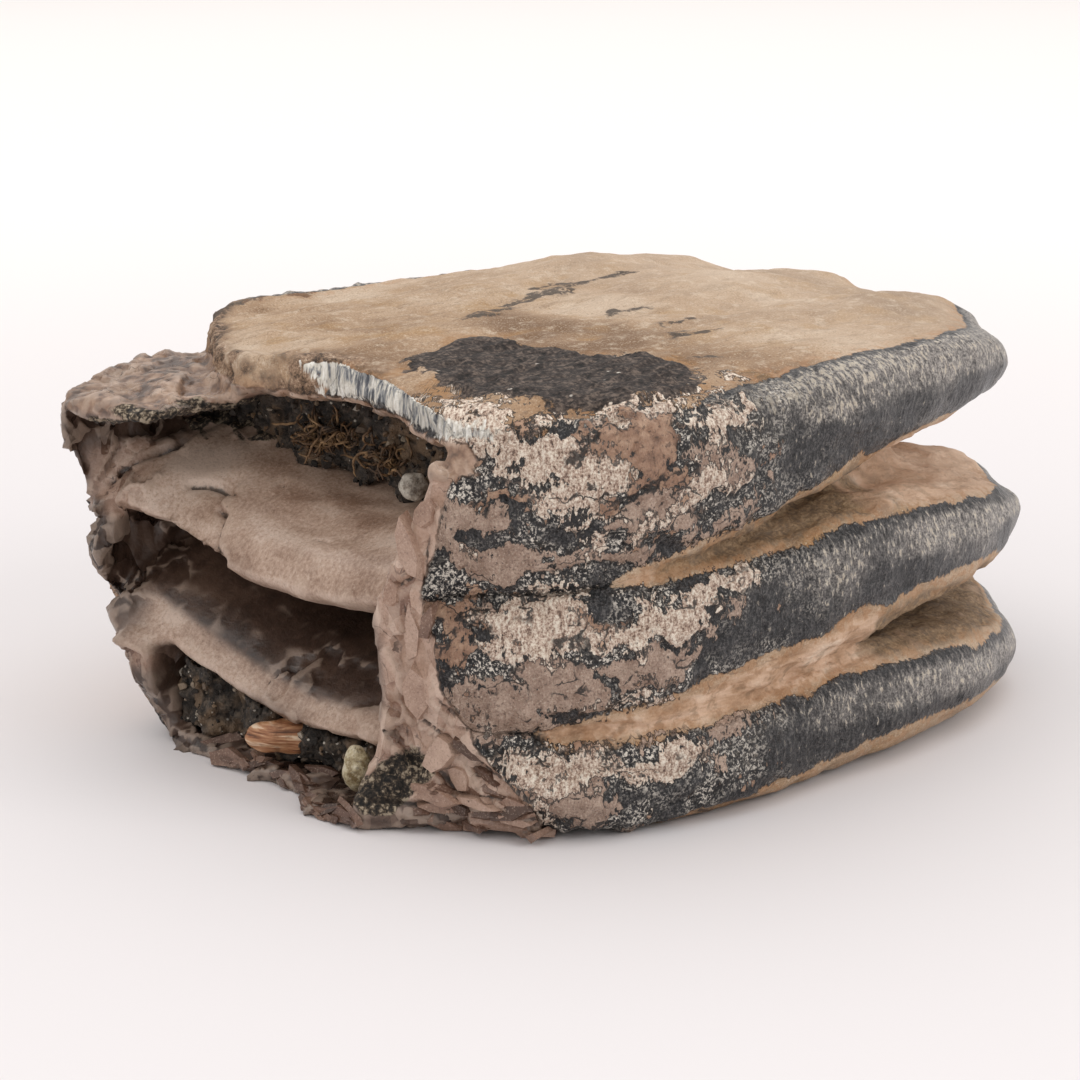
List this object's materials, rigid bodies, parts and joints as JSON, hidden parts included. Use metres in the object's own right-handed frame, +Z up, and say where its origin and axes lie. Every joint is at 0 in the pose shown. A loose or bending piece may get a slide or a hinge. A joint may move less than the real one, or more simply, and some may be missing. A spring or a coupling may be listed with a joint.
{
  "type": "fossil mammoth molar",
  "caption": "Fossil mammoth molar fragment: stacked rounded enamel plates joined by cement, open and hollow at the broken base, lying on its side as a specimen for display or study.",
  "frame": {"origin": "on the table under the middle of the bounding box", "axes": "+X from the broken base to the free tips of the plates, +Y from the near side to the far side of the plates, +Z up through the stack"},
  "size_m": [0.1016, 0.0802, 0.044],
  "materials": {
    "tooth": "satin fossil dentine, slate-grey ribbed enamel and matte ochre cement",
    "sediment": "matte gritty earth",
    "pebble_white": "matte",
    "pebble_cream": "waxy",
    "shell": "satin"
  },
  "bodies": {
    "root": {"molar": "tooth", "sediment_lower": "sediment", "sediment_upper": "sediment", "pebble_white": "pebble_white", "pebble_cream": "pebble_cream", "shell_orange": "shell"}
  },
  "joints": []
}
